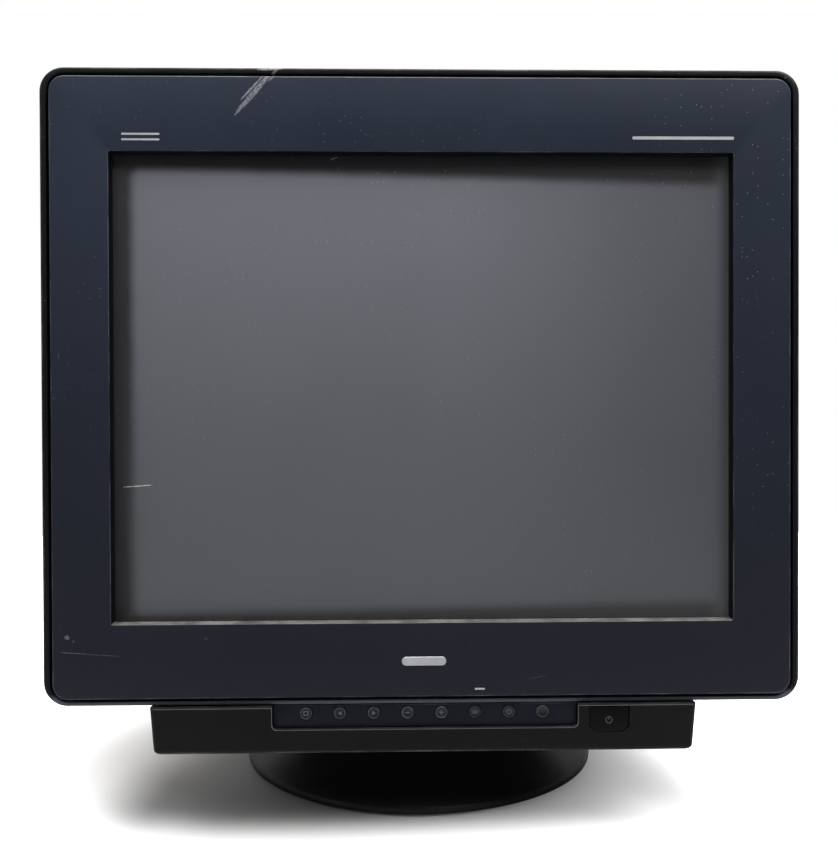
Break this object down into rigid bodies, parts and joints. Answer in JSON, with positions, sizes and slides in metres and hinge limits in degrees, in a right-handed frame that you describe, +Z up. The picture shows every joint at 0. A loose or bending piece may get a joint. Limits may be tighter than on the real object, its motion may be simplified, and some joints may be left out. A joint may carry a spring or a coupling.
{
  "type": "cathode ray tube computer monitor",
  "caption": "Flat-faced cathode ray tube monitor with a dark framed bezel, control chin, vented tapering cabinet, tube and boards inside, on a round tilt and swivel stand.",
  "frame": {"origin": "on the table, under the middle of the whole object's box", "axes": "+Z is up, -Y is the way the screen faces, +X is to the right of someone looking at the screen"},
  "size_m": [0.449, 0.452, 0.4615],
  "materials": {
    "face_plastic": "fine-textured blue-charcoal moulded plastic",
    "black_plastic": "textured black moulded plastic",
    "stand_plastic": "smooth black plastic",
    "key_plastic": "smooth dark grey plastic",
    "tinted_glass": "dark tinted glass with an antireflection film",
    "funnel_coating": "glass with a matt black graphite coating",
    "clear_plastic": "translucent clear plastic",
    "steel": "zinc-plated sheet steel",
    "aluminium": "plain extruded aluminium",
    "copper": "enamelled copper wire",
    "ferrite": "sintered ferrite",
    "circuit_board": "green solder-masked board",
    "rubber": "black rubber or tape",
    "red_rubber": "red silicone rubber"
  },
  "bodies": {
    "base": {"stand_base": "stand_plastic", "foot_pad_1": "rubber", "foot_pad_2": "rubber", "foot_pad_3": "rubber", "foot_pad_4": "rubber"},
    "swivel": {"swivel_pivot": "key_plastic", "pivot_washer": "steel", "pivot_screw": "steel"},
    "head": {"front_bezel": "face_plastic", "control_panel": "face_plastic", "front_frame": "black_plastic", "bottom_cover": "black_plastic", "rear_cabinet": "black_plastic", "crt_base": "black_plastic", "magnet_rings": "black_plastic", "neck_socket": "black_plastic", "flyback_transformer": "black_plastic", "filter_capacitor": "black_plastic", "power_inlet": "black_plastic", "tilt_bowl": "stand_plastic", "crt_faceplate": "tinted_glass", "crt_neck": "tinted_glass", "crt_funnel": "funnel_coating", "led_indicator": "clear_plastic", "aperture_grille": "steel", "electron_gun": "steel", "implosion_band": "steel", "tube_screw_1": "steel", "tube_screw_2": "steel", "tube_screw_3": "steel", "tube_screw_4": "steel", "neck_shield": "steel", "chassis_tray": "steel", "connector_plate": "steel", "video_socket": "steel", "cabinet_screw_1": "steel", "cabinet_screw_2": "steel", "cabinet_screw_3": "steel", "cabinet_screw_4": "steel", "heat_sink_left": "aluminium", "heat_sink_right": "aluminium", "yoke_coils": "copper", "power_transformer": "copper", "yoke_core": "ferrite", "control_board": "circuit_board", "neck_board": "circuit_board", "main_board": "circuit_board", "degauss_coil": "rubber", "anode_cap": "red_rubber", "anode_lead": "red_rubber"},
    "button_exit": {"button_exit": "key_plastic"},
    "button_left": {"button_left": "key_plastic"},
    "button_right": {"button_right": "key_plastic"},
    "button_minus": {"button_minus": "key_plastic"},
    "button_plus": {"button_plus": "key_plastic"},
    "button_select": {"button_select": "key_plastic"},
    "button_reset": {"button_reset": "key_plastic"},
    "power_button": {"power_button": "key_plastic"}
  },
  "joints": [
    {"name": "swivel_turn", "type": "hinge", "parent": "base", "child": "swivel", "pos_m": [0, -0.051, 0.02], "axis": [0, 0, 1], "range_deg": [-90, 90]},
    {"name": "head_tilt", "type": "hinge", "parent": "swivel", "child": "head", "pos_m": [0, -0.051, 0.15], "axis": [-1, 0, 0], "range_deg": [-5, 10]},
    {"name": "button_exit_press", "type": "slide", "parent": "head", "child": "button_exit", "axis": [0, 1, 0], "range_m": [0, 0.001], "stiffness_N_per_m": 600},
    {"name": "button_left_press", "type": "slide", "parent": "head", "child": "button_left", "axis": [0, 1, 0], "range_m": [0, 0.001], "stiffness_N_per_m": 600},
    {"name": "button_right_press", "type": "slide", "parent": "head", "child": "button_right", "axis": [0, 1, 0], "range_m": [0, 0.001], "stiffness_N_per_m": 600},
    {"name": "button_minus_press", "type": "slide", "parent": "head", "child": "button_minus", "axis": [0, 1, 0], "range_m": [0, 0.001], "stiffness_N_per_m": 600},
    {"name": "button_plus_press", "type": "slide", "parent": "head", "child": "button_plus", "axis": [0, 1, 0], "range_m": [0, 0.001], "stiffness_N_per_m": 600},
    {"name": "button_select_press", "type": "slide", "parent": "head", "child": "button_select", "axis": [0, 1, 0], "range_m": [0, 0.001], "stiffness_N_per_m": 600},
    {"name": "button_reset_press", "type": "slide", "parent": "head", "child": "button_reset", "axis": [0, 1, 0], "range_m": [0, 0.001], "stiffness_N_per_m": 600},
    {"name": "power_press", "type": "slide", "parent": "head", "child": "power_button", "axis": [0, 1, 0], "range_m": [0, 0.0015], "stiffness_N_per_m": 700}
  ]
}
